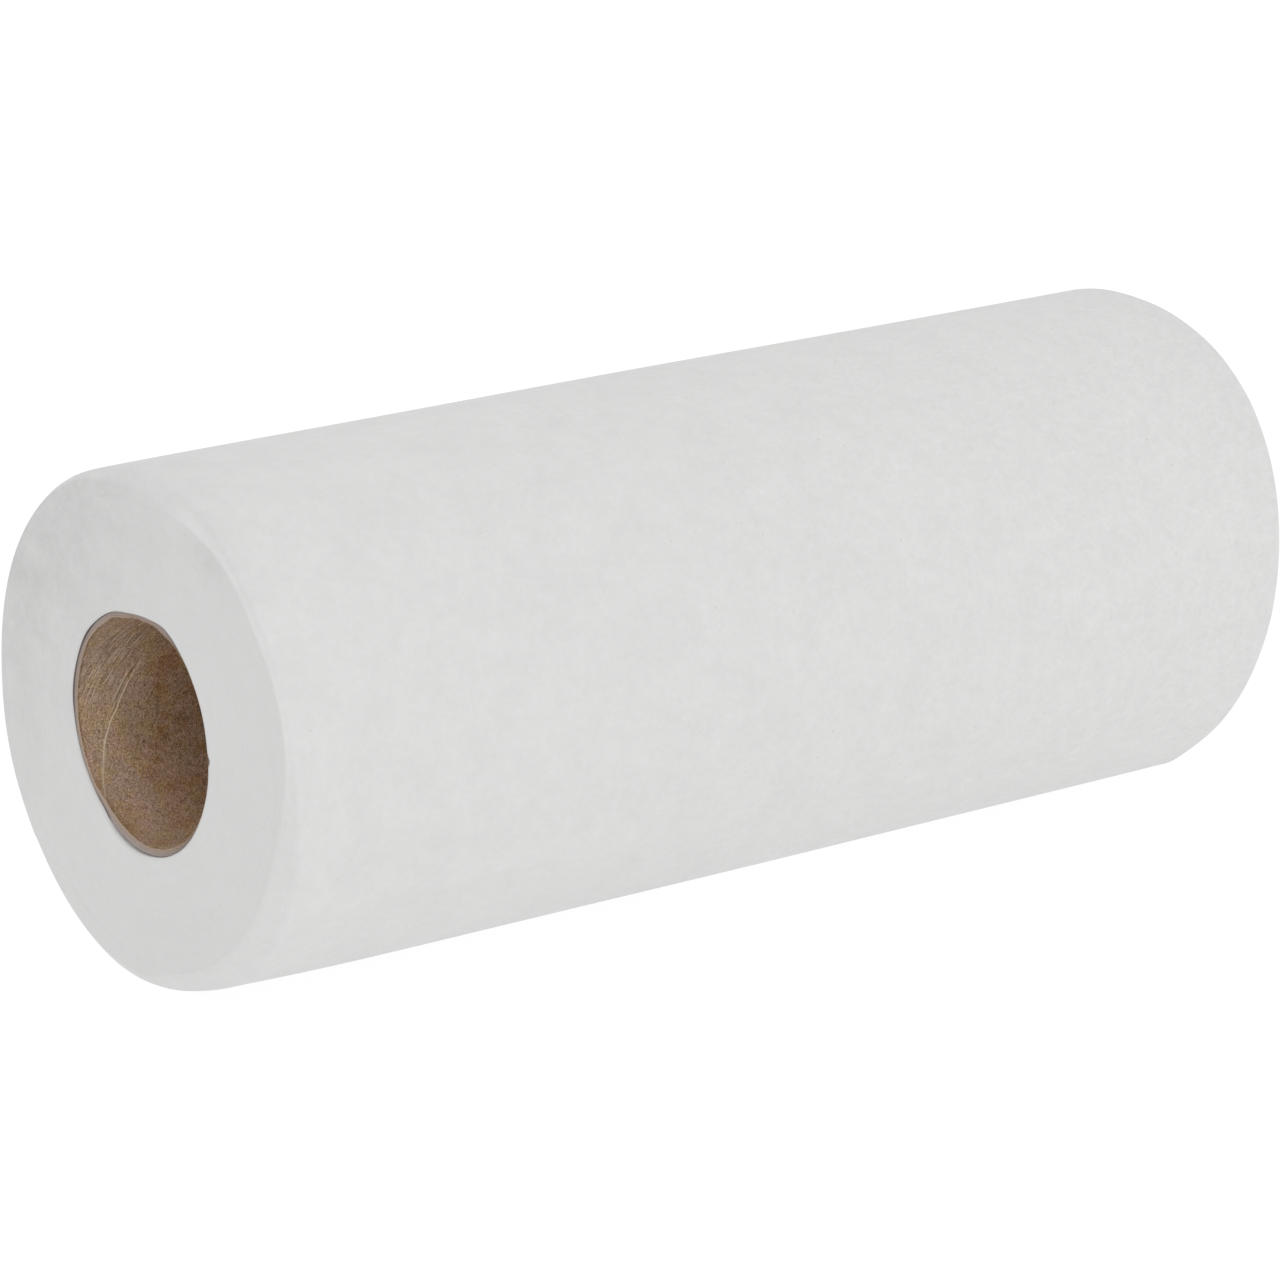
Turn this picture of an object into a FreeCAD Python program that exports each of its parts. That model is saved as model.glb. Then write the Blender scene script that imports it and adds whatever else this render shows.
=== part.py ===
import FreeCAD, Part
import math
import os

# Exam table paper roll, headrest width, lying on its side.
# Frame: millimetres, +X along the roll, +Z up. The origin is the middle of the
# roll's footprint, on the surface that it lies on.

# ---------------------------------------------------------------- dimensions
roll_width = 215.9          # width of the web, 8 1/2 in
roll_diameter = 89.6        # wound diameter of a full roll
core_outer_diameter = 42.1  # cardboard tube, outside
core_wall = 1.1             # three glued plies of board
shoulder_radius = 1.8       # the edges of the outer turns are soft
flat_half_width = 7.0       # half the width of the flat that the roll lies on
tail_step = 0.25            # the last turn lies a little loose, so its cut edge stands proud
tail_angle = -38.0          # degrees from +Y, so the tail is low on the back

# ------------------------------------------------------------------- derived
roll_r = roll_diameter / 2.0
core_r = core_outer_diameter / 2.0
bore_r = core_r - core_wall
half_w = roll_width / 2.0
flat_drop = math.sqrt(roll_r ** 2 - flat_half_width ** 2)  # axis to the flat
axis_z = flat_drop

X = FreeCAD.Vector(1, 0, 0)
START = FreeCAD.Vector(-half_w, 0, axis_z)


def on_section(radius, degrees, x):
    """A point of the cross-section, by its radius from the axis and its angle from +Y."""
    a = math.radians(degrees)
    return FreeCAD.Vector(x, radius * math.cos(a), axis_z + radius * math.sin(a))


# ------------------------------------------------------- wound paper, one solid
# Meridian in the XZ plane: the bore, two square-cut end faces, two rounded
# shoulders and the outer turn, spun about the roll's axis.
s = shoulder_radius
d = s * (1.0 - math.sqrt(0.5))


def meridian_point(x, r):
    return FreeCAD.Vector(x, 0, axis_z + r)


near_mid = meridian_point(-half_w + d, roll_r - d)
far_mid = meridian_point(half_w - d, roll_r - d)
edges = [
    Part.LineSegment(meridian_point(half_w, core_r), meridian_point(-half_w, core_r)).toShape(),
    Part.LineSegment(meridian_point(-half_w, core_r), meridian_point(-half_w, roll_r - s)).toShape(),
    Part.Arc(meridian_point(-half_w, roll_r - s), near_mid, meridian_point(-half_w + s, roll_r)).toShape(),
    Part.LineSegment(meridian_point(-half_w + s, roll_r), meridian_point(half_w - s, roll_r)).toShape(),
    Part.Arc(meridian_point(half_w - s, roll_r), far_mid, meridian_point(half_w, roll_r - s)).toShape(),
    Part.LineSegment(meridian_point(half_w, roll_r - s), meridian_point(half_w, core_r)).toShape(),
]
meridian = Part.Face(Part.Wire(edges))
paper_roll = meridian.revolve(FreeCAD.Vector(0, 0, axis_z), X, 360)

# The tail: below its cut edge the surface lies one loose turn lower, and it
# comes back to the full radius under the roll.
low_end = -90.0
x0 = -half_w - 5.0
inner_a = on_section(roll_r - tail_step, tail_angle, x0)
inner_m = on_section(roll_r - 0.42 * tail_step, (tail_angle + low_end) / 2.0, x0)
inner_b = on_section(roll_r, low_end, x0)
outer_a = on_section(roll_r + 3.0, tail_angle, x0)
outer_m = on_section(roll_r + 3.0, (tail_angle + low_end) / 2.0, x0)
outer_b = on_section(roll_r + 3.0, low_end, x0)
sliver = Part.Face(Part.Wire([
    Part.Arc(inner_a, inner_m, inner_b).toShape(),
    Part.LineSegment(inner_b, outer_b).toShape(),
    Part.Arc(outer_b, outer_m, outer_a).toShape(),
    Part.LineSegment(outer_a, inner_a).toShape(),
])).extrude(FreeCAD.Vector(roll_width + 10.0, 0, 0))
paper_roll = paper_roll.cut(sliver)

# The small flat that a soft roll presses into itself where it lies.
below = Part.makeBox(roll_width + 20.0, roll_diameter + 20.0, 20.0,
                     FreeCAD.Vector(-half_w - 10.0, -roll_r - 10.0, -20.0))
paper_roll = paper_roll.cut(below)

# ------------------------------------------- spiral-wound cardboard tube, one solid
core_tube = Part.makeCylinder(core_r, roll_width, START, X).cut(
    Part.makeCylinder(bore_r, roll_width + 10.0, START - X * 5.0, X))

# -------------------------------------------------------------------- output
os.makedirs("parts", exist_ok=True)
for name, shape in (("paper_roll", paper_roll), ("core_tube", core_tube)):
    if shape.ShapeType == "Compound" and len(shape.Solids) == 1:
        shape = shape.Solids[0]
    box = shape.BoundBox
    print(name, shape.ShapeType, len(shape.Solids), "solid, valid", shape.isValid(),
          "volume %.1f" % shape.Volume,
          "x %.3f..%.3f y %.3f..%.3f z %.3f..%.3f" % (
              box.XMin, box.XMax, box.YMin, box.YMax, box.ZMin, box.ZMax))
    shape.exportStep("parts/%s.step" % name)
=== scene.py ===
"""Exam table paper roll: the looks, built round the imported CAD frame. Metres, +X along the roll, +Z up."""
import math

import bmesh
import bpy
import numpy as np
from mathutils import Matrix, Vector


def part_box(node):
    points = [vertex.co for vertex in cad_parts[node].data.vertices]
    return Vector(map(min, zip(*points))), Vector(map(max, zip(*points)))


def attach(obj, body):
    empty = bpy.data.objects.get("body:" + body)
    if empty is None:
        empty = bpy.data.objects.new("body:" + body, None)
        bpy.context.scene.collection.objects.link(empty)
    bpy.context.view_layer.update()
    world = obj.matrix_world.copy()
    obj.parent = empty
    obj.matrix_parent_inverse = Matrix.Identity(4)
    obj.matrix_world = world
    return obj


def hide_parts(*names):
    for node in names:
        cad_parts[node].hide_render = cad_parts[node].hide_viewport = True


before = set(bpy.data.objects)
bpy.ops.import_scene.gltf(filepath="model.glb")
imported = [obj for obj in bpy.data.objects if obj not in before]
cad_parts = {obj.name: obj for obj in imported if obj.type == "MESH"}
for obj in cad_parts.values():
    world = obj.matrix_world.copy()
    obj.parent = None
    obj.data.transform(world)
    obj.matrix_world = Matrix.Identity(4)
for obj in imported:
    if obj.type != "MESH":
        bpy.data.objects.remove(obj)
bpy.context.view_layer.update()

MM = 0.001
TAU = 2.0 * math.pi

# ------------------------------------------------------------------ sizes, in mm
p_lo, p_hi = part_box("paper_roll")
t_lo, t_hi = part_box("core_tube")
AXIS_Z = (t_lo.z + t_hi.z) / 2 / MM      # height of the roll's axis
HW = p_hi.x / MM                         # half the roll's width
R = p_hi.z / MM - AXIS_Z                 # wound radius
RC = (t_hi.z - t_lo.z) / 2 / MM          # outside of the tube
WALL = 1.1                               # the tube's board
TAIL_AT = -38.0                          # the tail's cut edge, degrees from +Y
TAIL_STEP = 0.14                         # the last turn lies a little loose


# ------------------------------------------------------------------ small helpers
def rng(seed):
    return np.random.default_rng(seed)


def smooth(x, a, b):
    t = np.clip((np.asarray(x, float) - a) / (b - a), 0.0, 1.0)
    return t * t * (3.0 - 2.0 * t)


def bump(x, w):
    """A smooth bump of half-width w about 0."""
    t = np.clip(np.abs(x) / w, 0.0, 1.0)
    return (1.0 - t * t) ** 2


def wave(theta, seed, low, high, amp):
    """A smooth closed curve of the angle, with orders low..high."""
    g = rng(seed)
    out = np.zeros_like(theta, dtype=float)
    for n in range(low, high + 1):
        out = out + g.normal() / (1.0 + 0.35 * (n - low)) * np.cos(n * theta + g.uniform(0, TAU))
    return amp * out / math.sqrt(high - low + 1)


def ring_table(theta, degrees, values):
    """Values given at some angles, read smoothly all the way round."""
    d = np.asarray(degrees, float) % 360.0
    order = np.argsort(d)
    d, v = d[order], np.asarray(values, float)[order]
    d = np.concatenate([d[-3:] - 360.0, d, d[:3] + 360.0])
    v = np.concatenate([v[-3:], v, v[:3]])
    deg = np.degrees(theta) % 360.0
    # monotone cubic through the points, so that it never overshoots them
    h = np.diff(d)
    s = np.diff(v) / h
    m = np.zeros_like(v)
    same = s[:-1] * s[1:] > 0
    w1, w2 = 2 * h[1:] + h[:-1], h[1:] + 2 * h[:-1]
    m[1:-1][same] = ((w1 + w2)[same]) / (w1[same] / s[:-1][same] + w2[same] / s[1:][same])
    k = np.clip(np.searchsorted(d, deg, side="right") - 1, 0, len(h) - 1)
    t = (deg - d[k]) / h[k]
    return ((2 * t ** 3 - 3 * t ** 2 + 1) * v[k] + (t ** 3 - 2 * t ** 2 + t) * h[k] * m[k]
            + (-2 * t ** 3 + 3 * t ** 2) * v[k + 1] + (t ** 3 - t ** 2) * h[k] * m[k + 1])


def make_object(name, verts, faces, sharp=None):
    me = bpy.data.meshes.new(name)
    me.from_pydata([tuple(v) for v in (np.asarray(verts) * MM)], [], faces)
    me.validate()
    me.update()
    me.shade_smooth()
    if sharp is not None:
        me.set_sharp_from_angle(angle=math.radians(sharp))
    ob = bpy.data.objects.new(name, me)
    bpy.context.scene.collection.objects.link(ob)
    return ob


def on_axis(x, r, theta):
    """Points from the place along the roll, the radius and the angle from +Y."""
    x, r, theta = np.broadcast_arrays(x, r, theta)
    return np.stack([x, r * np.cos(theta), AXIS_Z + r * np.sin(theta)], -1)


# ------------------------------------------------------------------ camera
# The roll's seen end is at -X. The camera stands off that end, above and in front, with a long lens.
def add_camera():
    right = Vector((0.80022, -0.59971, 0.0)).normalized()
    ahead = Vector((0.57484, 0.76703, -0.28500))
    ahead = (ahead - ahead.dot(right) * right).normalized()
    up = right.cross(ahead)
    across, down, away = -1.8486 * 44.8, 0.3488 * 44.8, 22.733 * 44.8
    face = Vector((-HW, 0.0, AXIS_Z))
    eye = (face - across * right + down * up - away * ahead) * MM
    cam = bpy.data.cameras.new("camera")
    cam.sensor_width = 36.0
    cam.lens = 172.85
    cam.clip_start, cam.clip_end = 0.05, 50.0
    ob = bpy.data.objects.new("camera", cam)
    bpy.context.scene.collection.objects.link(ob)
    turn = Matrix((right, up, -ahead)).transposed().to_4x4()
    ob.matrix_world = Matrix.Translation(eye) @ turn
    bpy.context.scene.camera = ob


add_camera()


# ------------------------------------------------------------------ the mouths of the tube
# A sawn board tube is never quite round at its end, and it ends a little inside the paper.
def mouth(theta, near):
    """How far the tube's wall is out of round at its end, in mm."""
    if near:
        return ring_table(theta, [180, -160, -142, -120, -97, -82, -67, -52, -37, -18, 0, 20, 37, 60, 82, 97, 112, 127, 142, 160],
                          [-0.30, -0.26, -0.20, -0.17, -0.17, -0.18, -0.29, -0.43, -0.14, -0.02, 0.12, 0.19, 0.18, -0.03,
                           -0.40, -0.12, 0.30, 0.26, -0.10, -0.24])
    return wave(theta, 71, 2, 6, 0.30) - 0.1


def mouth_fade(depth):
    """How much of that is left this far in from the end."""
    return np.exp(-np.clip(depth, 0.0, None) / 14.0)


def recess(theta, near):
    """How far inside the paper's end the tube stops, in mm."""
    if near:
        return ring_table(theta, [180, -157, -142, -127, -112, -97, -82, -67, -52, -37, -20, 0, 30, 60, 82, 97, 112, 127, 142, 160],
                          [0.60, 0.68, 0.70, 0.66, 0.56, 0.48, 0.42, 0.38, 0.36, 0.30, 0.30, 0.30, 0.30, 0.36, 0.55, 0.54, 0.42, 0.52,
                           0.56, 0.58])
    return 0.6 + wave(theta, 72, 1, 3, 0.15)


def hole(theta, near):
    """Radius of the paper's edge round the tube, at the end."""
    if near:
        r = ring_table(theta, [-172, -157, -142, -127, -112, -97, -82, -67, -52, -37, -22, -7, 7, 22, 37, 52, 67, 82, 97, 112, 127, 142, 157, 170],
                       [20.42, 20.36, 20.48, 20.68, 20.83, 21.00, 21.24, 21.06, 20.18, 20.38, 20.80, 21.18, 21.55, 21.46, 21.50, 21.17,
                        20.88, 20.37, 20.67, 21.42, 20.93, 20.56, 20.38, 20.22])
        # a small nick in the paper's edge
        nick = 0.50 * bump((np.degrees(theta) - 178.6 + 180.0) % 360.0 - 180.0, 3.4)
        return r + nick + wave(theta, 73, 11, 34, 0.025)
    return RC + 0.05 + wave(theta, 74, 1, 6, 0.22) + wave(theta, 75, 11, 30, 0.03)


# ------------------------------------------------------------------ wound paper
def paper_section(theta):
    """Radius of the outer turn's surface under the tail flap, before the shoulders."""
    deg = np.degrees(theta)
    round_from_tail = (TAIL_AT - deg) % 360.0          # 0 just below the tail, 360 just above it
    drop = TAIL_STEP * (1.0 - round_from_tail / 360.0)
    above = (deg - TAIL_AT) % 360.0                    # 0 at the tail, growing up the back
    under_flap = TAIL_STEP * (1.0 - smooth(above, 0.0, 26.0))
    drop = np.where(above < 30.0, np.maximum(under_flap, drop), drop)
    return R - drop


def flat_limit(theta):
    """Radius at which the surface meets the floor."""
    c = -np.sin(theta)
    return np.where(c > 0.5, AXIS_Z / np.maximum(c, 0.5), 1e3)


def side_swell(theta, x):
    """Slow unevenness of the outer turns, in mm."""
    a = wave(theta, 11, 2, 5, 0.055) + wave(theta, 12, 6, 13, 0.018)
    g = rng(13)
    out = a * (1.0 + 0.0 * x)
    for _ in range(9):
        n, k = g.integers(1, 7), g.uniform(0.4, 2.6)
        out = out + 0.016 * g.normal() * np.cos(n * theta + g.uniform(0, TAU)) * np.cos(k * math.pi * x / HW + g.uniform(0, TAU))
    # a little fuller at mid length, most of all low on the front
    low = np.exp(-(((np.degrees(theta) + 118.0 + 180.0) % 360.0 - 180.0) / 16.0) ** 2)
    out = out + (0.10 + 0.24 * low) * (1.0 - (x / HW) ** 2)
    keep = 1.0 - np.exp(-(((np.degrees(theta) + 90.0 + 180.0) % 360.0 - 180.0) / 16.0) ** 2)
    return out * keep


def crease_at(theta, near):
    """Radius, as a share of R, at which the flat of the end stops and the soft shoulder starts."""
    if near:
        return ring_table(
            theta,
            [-172, -160, -148, -135, -120, -103, -85, -65, -40, -20, 5, 30, 55, 75, 90, 102, 113, 124, 133, 142, 149, 156, 163, 172],
            [0.926, 0.908, 0.900, 0.897, 0.895, 0.902, 0.952, 0.971, 0.974, 0.982, 0.984, 0.993, 0.984, 0.952, 0.925, 0.920,
             0.937, 0.962, 0.968, 0.966, 0.974, 0.984, 0.985, 0.975])
    return ring_table(theta, [-172, -158, -142, -128, -110, -85, -50, 0, 50, 90, 105, 125, 150, 170],
                      [0.955, 0.915, 0.895, 0.895, 0.925, 0.945, 0.955, 0.95, 0.96, 0.968, 0.978, 0.985, 0.982, 0.970])


def reach_at(theta, near):
    """How far along the side the shoulder runs, in mm."""
    if near:
        return ring_table(theta, [-170, -150, -130, -112, -95, -75, -45, -15, 10, 32, 55, 75, 92, 110, 128, 148, 165],
                          [2.4, 3.4, 3.8, 5.0, 3.2, 1.2, 1.0, 0.7, 0.7, 0.5, 0.85, 2.2, 2.5, 2.3, 1.4, 1.1, 1.1])
    return ring_table(theta, [-172, -158, -142, -128, -110, -85, -50, 0, 50, 90, 105, 125, 150, 170],
                      [2.6, 4.1, 5.2, 6.2, 2.9, 2.2, 1.9, 2.1, 1.9, 2.3, 1.5, 0.8, 0.9, 1.6])


def end_slip(theta, near):
    """How far the outer turns have slipped along the roll, out of the end plane, in mm."""
    if near:
        return ring_table(theta, [180, -120, -60, -45, -30, -15, 0, 15, 35, 50, 65, 80, 120],
                          [0.0, 0.0, 0.0, 0.0, 0.08, 0.16, 0.06, 0.15, 0.19, 0.12, 0.03, 0.0, 0.0])
    return ring_table(theta, [-170, -155, -140, -124, -108, -80, -40, 20, 75, 90, 106, 125, 135, 145, 160, 175],
                      [-1.58, -1.38, -1.48, -1.64, -0.40, 0.0, 0.1, -0.1, -0.2, -0.28, 0.32, 1.06, 1.12, 0.74, -0.12, -1.06])


def face_relief(theta, r, near):
    """How far the cut end lies inside the end plane: turn edges that stand a little in or out."""
    g = rng(41 if near else 51)
    out = np.full(np.broadcast(theta, r).shape, 0.10)
    rings = np.arange(RC + 0.9, R - 1.6, 0.42)
    for rk in rings:
        rk = rk + g.uniform(-0.13, 0.13)
        w = g.uniform(0.26, 0.48)
        height = g.normal() * 0.016
        if g.random() < 0.12:
            height *= 2.6
        ph, n = g.uniform(0, TAU), g.integers(1, 4)
        fade = 0.5 + 0.5 * np.cos(n * theta + ph)
        out = out + height * fade * bump(r - rk, w)
    # slow waves: the end isn't quite flat
    for _ in range(7):
        n, k = g.integers(1, 5), g.uniform(0.5, 2.2)
        out = out + 0.028 * g.normal() * np.cos(n * theta + g.uniform(0, TAU)) * np.cos(k * math.pi * (r - RC) / (R - RC) + g.uniform(0, TAU))
    # a few loose turns near the rim that stand a little proud over part of the way round
    loose_turns_and_shade = [(0.955, 8, 46, 0.060), (0.938, 14, 38, 0.045), (0.965, 82, 30, 0.060), (0.948, 92, 26, 0.05), (0.925, 60, 40, 0.03),
             (0.90, -60, 50, 0.03)] if near else \
            [(0.95, 200, 60, 0.07), (0.93, 90, 50, 0.05), (0.90, 320, 60, 0.05), (0.86, 30, 40, 0.03), (0.96, 140, 40, 0.05)]
    for share, at, spread, height in loose_turns_and_shade:
        d = (np.degrees(theta) - at + 180.0) % 360.0 - 180.0
        out = out - height * np.exp(-(d / spread) ** 2) * bump(r - share * R, 0.42)
    return np.maximum(out, 0.0)


def open_turn_shade(theta, r, near):
    """Painted shade where the cut turns lie more open, 0 to 1."""
    at, low, high = (40.0, 55.0, 56.0) if near else (150.0, 60.0, 50.0)
    d = (np.degrees(theta) - at + 180.0) % 360.0 - 180.0
    out = np.exp(-(d / np.where(d < 0, low, high)) ** 2) * (0.42 + 0.58 * smooth(r, 22.0, 38.0))
    # cloudy, with a painted shade spot for a shallow dent near the rim
    y, z = r * np.cos(theta), r * np.sin(theta)
    g = rng(45 if near else 55)
    cloud = sum(g.normal() * np.cos(2 * math.pi * (y * math.cos(a) + z * math.sin(a)) / g.uniform(4.0, 15.0) + g.uniform(0, TAU))
                for a in g.uniform(0, TAU, 16)) / 4.0
    dent = np.exp(-((y + 21.5) / 4.8) ** 2 - ((z - 34.2) / 3.4) ** 2) if near else 0.0
    return np.clip(out * (1.0 + 0.22 * cloud) + 0.66 * dent, 0.0, 1.3)


def painted_shoulder_shade(theta, depth, near):
    """Painted shade beside the shoulder, a little darker over part of the way round, 0 to 1."""
    if near:
        much = ring_table(theta, [-170, -90, 0, 40, 60, 75, 90, 105, 122, 133, 143, 155, 170], [0.0, 0.0, 0.05, 0.2, 0.6, 0.95, 1.0, 0.95, 0.85, 0.35, 0.05, 0.0, 0.0])
        far_in = ring_table(theta, [-170, -90, 0, 60, 75, 90, 100, 112, 125, 140, 160], [5.0, 5.0, 6.0, 9.0, 14.0, 16.0, 13.0, 6.5, 4.5, 4.0, 4.0])
    else:
        much = 0.35 + wave(theta, 77, 1, 4, 0.25)
        far_in = 6.0 + wave(theta, 78, 1, 3, 2.0)
    return np.clip(much, 0.0, 1.0) * np.exp(-(np.maximum(depth, 0.0) / far_in) ** 2)


def profile(th, section):
    """The lines of the roll's profile at each angle, from the near bore over the near end, the side and the far end to
    the far bore.
    Gives place along the roll, radius, painted highlight on the crease line, cut end, painted shade round the bore and
    painted shade beside the shoulder, and the lines that are side or shoulder."""
    rows = []

    def add(x, r, edge=0.0, face=0.0, inner=0.0, shoulder_shade=0.0):
        rows.append(np.stack([np.broadcast_to(v, r.shape) for v in (x, r, edge, face, inner, shoulder_shade)]))

    def outer(x):
        r = section + side_swell(th, x)
        # pressed in a little close to the near end: at the top, low on the front and down the back
        deg, from_end = np.degrees(th), HW + x
        r = r - 0.20 * bump(deg - 73.0, 12.0) * np.exp(-from_end / 8.0) - 0.56 * bump(deg + 110.0, 21.0) * np.exp(-(from_end / 17.0) ** 2)
        back = ring_table(th, [-100, -80, -66, -52, -42, -32, -22, -10, 3, 14, 26, 60, 150], [0.0, 0.08, 0.20, 0.26, 0.33, 0.36, 0.26, 0.14, 0.20, 0.10, 0.0, 0.0, 0.0])
        r = r - back * np.exp(-(from_end / 11.0) ** 2)
        # the outer turns stand slightly fuller close to each end
        return r + 0.10 * np.exp(-(HW - np.abs(x)) / 9.0) * (0.5 + 0.5 * np.cos(th - math.radians(165)))

    def end(near):
        """One end from the bore out to the side: the gap round the tube, the cut face and the soft shoulder. Outward along the profile."""
        sgn = -1.0 if near else 1.0
        nf, ns = (122, 12) if near else (100, 10)
        # the bore: closed on the tube 5 mm in, then a lip that stands off the tube or hangs over it
        edge_r, rec = hole(th, near), recess(th, near)
        tube = RC + mouth(th, near)
        off = np.maximum(edge_r - tube - 0.05, 0.02)
        depth = np.concatenate([np.full_like(th, 9.0), np.full_like(th, 5.0), np.full_like(th, 2.4), rec + 0.10], 1)
        wall = RC + mouth(th, near) * mouth_fade(depth - rec) + 0.012 + off * (1.0 - smooth(depth - rec, 0.0, 4.0))
        # painted shade on the paper's wall in the bore, beside the tube
        bore_gap_shade = ring_table(th, [-60, -48, -35, -20, 0, 40, 75, 90, 110, 150, 180, -130, -90], [0.1, 0.02, 0.5, 1.0, 1.0, 1.0, 0.9, 0.5, 0.25, 0.4, 0.5, 0.3, 0.1]) \
            if near else 0.35 + wave(th, 76, 1, 3, 0.15)
        add(sgn * (HW - depth), wall, inner=bore_gap_shade)
        inner = edge_r + 0.03
        start = face_relief(th, inner, near) + 0.10
        add(sgn * (HW - np.maximum(0.55 * rec, start + 0.05)), edge_r + np.maximum(tube - edge_r, 0) * 0.35 - 0.02, inner=bore_gap_shade)
        add(sgn * (HW - start - 0.015), edge_r - 0.02, inner=0.6 * bore_gap_shade)
        # cut face
        crease = crease_at(th, near) * R
        slip = end_slip(th, near)
        u = np.linspace(0.0, 1.0, nf)[None, :]
        r = inner + (crease - inner) * u
        relief = face_relief(th, r, near)
        lip = 0.10 * np.exp(-(r - inner) / 0.25)
        # the crease: a fine raised line where the outer turns bend over, and a soft ridge beside it, which is also
        # painted lighter as a painted highlight
        strong = ring_table(th, [-170, -140, -110, -60, 0, 60, 90, 102, 112, 122, 132, 150, 165, 178],
                            [0.5, 0.15, 0.1, 0.2, 0.3, 0.1, 0.1, 0.45, 0.95, 1.0, 0.9, 1.0, 0.9, 0.8]) if near else 0.5 + 0.35 * np.cos(2 * th + 1.0)
        ridge = np.clip(strong, 0, 1.2) * bump(crease - 0.05 - r, 0.34)
        x = HW - relief - lip + 0.085 * ridge + slip * smooth(r, 27.0, 0.95 * R)
        # painted shade on the cut end right at the hole's edge, and on the lip that hangs over the tube
        hole_edge_shade = ring_table(th, [180, 150, 125, 105, 60, 0, -40, -100, -130, -160], [1.0, 1.0, 0.8, 0.25, 0.3, 0.35, 0.2, 0.15, 0.6, 1.0]) if near else 0.3
        lip_shade = ring_table(th, [-85, -66, -48, -30, -15, 0, 60, 160, -140, -110], [0.3, 0.8, 1.0, 0.8, 0.2, 0.0, 0.0, 0.0, 0.1, 0.1]) if near else 0.2
        add(sgn * x, r, edge=0.35 * ridge, face=1.0, inner=0.55 * hole_edge_shade * np.exp(-(r - inner) / 0.13) + 0.30 * lip_shade * np.exp(-((r - inner) / 0.62) ** 2))
        # shoulder: it leaves the face at an angle and rolls over into the side
        reach = reach_at(th, near)
        full = outer(sgn * (HW - reach))
        u = (np.arange(1, ns + 1) / ns)[None, :]
        crisp = smooth(strong, 0.5, 0.9)
        a0 = np.radians(26.0 + 9.0 * crisp)
        a = a0 + (math.pi / 2 - a0) * u
        rr = crease + (full - crease) * (np.sin(a) - np.sin(a0)) / (1.0 - np.sin(a0))
        xx = HW - 0.06 + slip - reach * (np.cos(a0) - np.cos(a)) / np.cos(a0)
        # painted highlight: a second line just over the crease, raised a little and painted lighter
        second = np.clip(strong, 0, 1.2) * (1.0 - smooth(u, 0.18, 0.62))
        rr = rr + 0.05 * second
        xx = xx + 0.05 * second
        add(sgn * xx, rr, edge=second, face=(1.0 - crisp) * 0.5 * (1.0 - smooth(u, 0.0, 0.3)),
            shoulder_shade=painted_shoulder_shade(th, HW - xx - 0.5, near) * np.maximum(smooth(u, 0.25, 0.7), 1.0 - crisp))
        return sgn * (HW - 0.06 + slip - reach), ns

    x_near, n_near = end(True)
    near_part = np.concatenate(rows, 2)
    rows.clear()
    x_far, n_far = end(False)
    far_part = np.concatenate(rows, 2)[:, :, ::-1]

    nx = 60
    u = np.linspace(0.0, 1.0, nx + 2)[1:-1]
    u = u + 0.055 * np.sin(TAU * u) / TAU * -2.0      # closer together near the ends
    x_side = x_near + (x_far - x_near) * u[None, :]
    r_side = outer(x_side)
    zero = np.zeros_like(r_side)
    shoulder_shade = np.maximum(painted_shoulder_shade(th, HW + x_side - 0.5, True), painted_shoulder_shade(th, HW - x_side - 0.5, False))
    side_part = np.stack([x_side, r_side, zero, zero, zero, shoulder_shade])
    first = near_part.shape[2] - n_near
    return np.concatenate([near_part, side_part, far_part], 2), slice(first, first + n_near + nx + n_far)


def build_paper():
    # columns round the roll, closer together at the tail and the flat
    n_main = 284
    deg = np.linspace(-180.0, 180.0, n_main, endpoint=False)
    flat_edge = math.degrees(math.acos(AXIS_Z / (R - 0.1)))
    deg = np.concatenate([deg, [-90 - flat_edge, -90 + flat_edge, TAIL_AT, TAIL_AT - 0.5]])
    deg = np.unique(np.round(deg, 4))
    keep = np.concatenate([[True], np.diff(deg) > 0.15])
    deg = deg[keep]
    th = np.radians(deg)[:, None]
    n = len(deg)
    (xs, rs, edge, face, inner, shoulder_shade), _ = profile(th, paper_section(th))

    # the small flat, with a soft start
    lim = flat_limit(th) + 0.0 * rs
    k = 0.03
    near_floor = (rs > R - 3.0) & (lim < R + 1.0)
    blend = -k * np.logaddexp(-np.clip(rs - R, -3.0, 3.0) / k, -np.clip(lim - R, -3.0, 3.0) / k) + R
    rs = np.minimum(np.where(near_floor, blend, rs), lim)

    m = xs.shape[1]
    verts = on_axis(xs, rs, th).reshape(-1, 3)
    idx = np.arange(n * m).reshape(n, m)
    a, b = idx, np.roll(idx, -1, 0)
    c, d = np.roll(b, -1, 1), np.roll(a, -1, 1)
    quads = np.stack([a, b, c, d], -1).reshape(-1, 4)
    loose_turns_and_shade = np.where(xs < 0, open_turn_shade(th, rs, True), open_turn_shade(th, rs, False)) * face
    return verts, quads, [v.reshape(-1) for v in (edge, face, inner, shoulder_shade, loose_turns_and_shade)]


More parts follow.
